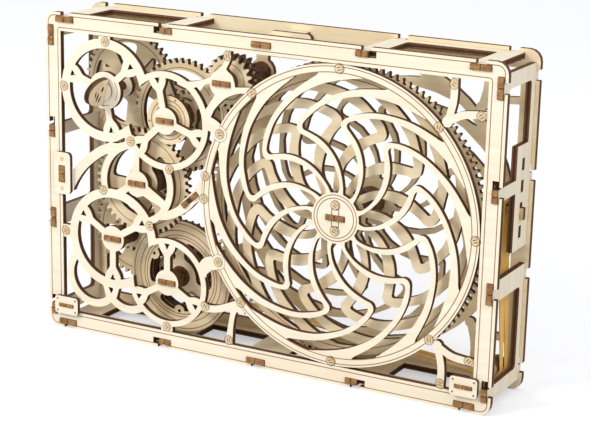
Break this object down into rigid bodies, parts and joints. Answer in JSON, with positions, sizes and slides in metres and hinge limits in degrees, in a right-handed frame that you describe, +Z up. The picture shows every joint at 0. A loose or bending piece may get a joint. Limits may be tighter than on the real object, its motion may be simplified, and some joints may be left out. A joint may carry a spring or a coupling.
{
  "type": "wooden kinetic puzzle",
  "caption": "Plywood kinetic picture: an open frame with a spiral wheel that turns between two fixed spiral grilles, a train of toothed wheels, a drum, a knob and a rubber band.",
  "frame": {"origin": "centre of the bounding box at the lower edge of the panels", "axes": "+X to the right seen from the front, +Y from the front panel to the rear panel, +Z up"},
  "size_m": [0.3416, 0.0796, 0.2275],
  "materials": {
    "pale_plywood": "bare",
    "warm_plywood": "bare",
    "burnt_edge": "laser burnt",
    "amber_rubber": "satin"
  },
  "bodies": {
    "frame": {"front_panel": "pale_plywood", "rear_panel": "warm_plywood", "left_side": "pale_plywood", "right_side": "pale_plywood", "top_left_frame": "pale_plywood", "top_right_frame": "pale_plywood", "top_middle_bar": "pale_plywood", "bottom_panel": "warm_plywood", "inner_top_plate": "pale_plywood", "front_lattice": "pale_plywood", "front_grille": "pale_plywood", "upper_corner_strut": "pale_plywood", "lower_corner_strut": "pale_plywood", "corner_bracket_left": "pale_plywood", "corner_bracket_right": "pale_plywood", "side_bracket_left": "pale_plywood", "main_axle": "burnt_edge", "axle_a": "burnt_edge", "axle_b": "burnt_edge", "axle_c": "burnt_edge", "axle_d": "burnt_edge", "axle_g": "burnt_edge", "hub_washer": "warm_plywood", "rivet_hub_upper": "pale_plywood", "rivet_hub_lower": "pale_plywood", "rivet_ring_top": "pale_plywood", "rivet_ring_right": "pale_plywood", "rivet_ring_bottom": "pale_plywood", "band_peg": "warm_plywood", "roller_pin": "burnt_edge", "rubber_band": "amber_rubber"},
    "wheel": {"spiral_wheel": "pale_plywood", "toothed_ring": "pale_plywood", "hub_sleeve": "warm_plywood"},
    "arbor_g": {"pinion_g_front": "pale_plywood", "pinion_g_rear": "pale_plywood"},
    "arbor_a": {"cover_a": "warm_plywood", "gear_a": "pale_plywood", "pinion_a_front": "pale_plywood", "pinion_a_rear": "pale_plywood", "sleeve_a_front": "warm_plywood", "sleeve_a_rear": "warm_plywood"},
    "arbor_b": {"gear_b": "pale_plywood", "sleeve_b": "warm_plywood", "pinion_b": "pale_plywood"},
    "arbor_c": {"pinion_c": "pale_plywood", "sleeve_c": "warm_plywood", "gear_c": "pale_plywood"},
    "arbor_k": {"gear_k": "pale_plywood"},
    "drum": {"drum_front_flange": "pale_plywood", "drum_gear": "pale_plywood", "drum_stack": "burnt_edge", "drum_core": "burnt_edge", "drum_rear_flange": "pale_plywood"},
    "knob": {"knob_disc": "pale_plywood", "knob_grip": "pale_plywood", "knob_shaft": "burnt_edge", "brake_arm": "pale_plywood"},
    "roller": {"band_roller": "warm_plywood"}
  },
  "joints": [
    {"name": "wheel_turn", "type": "hinge", "parent": "frame", "child": "wheel", "pos_m": [0.057, -0.0182, 0.11375], "axis": [0, 1, 0], "continuous": true},
    {"name": "arbor_g_turn", "type": "hinge", "parent": "frame", "child": "arbor_g", "pos_m": [-0.02941, -0.0182, 0.1921], "axis": [0, 1, 0], "continuous": true},
    {"name": "arbor_a_turn", "type": "hinge", "parent": "frame", "child": "arbor_a", "pos_m": [-0.07336, -0.0182, 0.16167], "axis": [0, 1, 0], "continuous": true},
    {"name": "arbor_b_turn", "type": "hinge", "parent": "frame", "child": "arbor_b", "pos_m": [-0.09592, -0.0182, 0.11499], "axis": [0, 1, 0], "continuous": true},
    {"name": "arbor_c_turn", "type": "hinge", "parent": "frame", "child": "arbor_c", "pos_m": [-0.11607, -0.0182, 0.07255], "axis": [0, 1, 0], "continuous": true},
    {"name": "arbor_k_turn", "type": "hinge", "parent": "frame", "child": "arbor_k", "pos_m": [-0.122, -0.0182, 0.1771], "axis": [0, 1, 0], "continuous": true},
    {"name": "drum_turn", "type": "hinge", "parent": "frame", "child": "drum", "pos_m": [-0.07127, -0.0182, 0.04813], "axis": [0, 1, 0], "continuous": true},
    {"name": "roller_turn", "type": "hinge", "parent": "frame", "child": "roller", "pos_m": [0.15625, -0.0182, 0.0197], "axis": [0, 1, 0], "continuous": true},
    {"name": "knob_turn", "type": "hinge", "parent": "frame", "child": "knob", "pos_m": [-0.122, -0.0182, 0.1771], "axis": [0, 1, 0], "range_deg": [0, 49]}
  ],
  "couplings": [
    {"joint": "arbor_g_turn", "follows": "wheel_turn", "ratio": -5.8571},
    {"joint": "arbor_a_turn", "follows": "wheel_turn", "ratio": 2.3678},
    {"joint": "arbor_b_turn", "follows": "wheel_turn", "ratio": -0.99973},
    {"joint": "arbor_c_turn", "follows": "wheel_turn", "ratio": 0.38085},
    {"joint": "arbor_k_turn", "follows": "wheel_turn", "ratio": -1.0225},
    {"joint": "drum_turn", "follows": "wheel_turn", "ratio": -0.12965},
    {"joint": "roller_turn", "follows": "wheel_turn", "ratio": -0.28159}
  ]
}
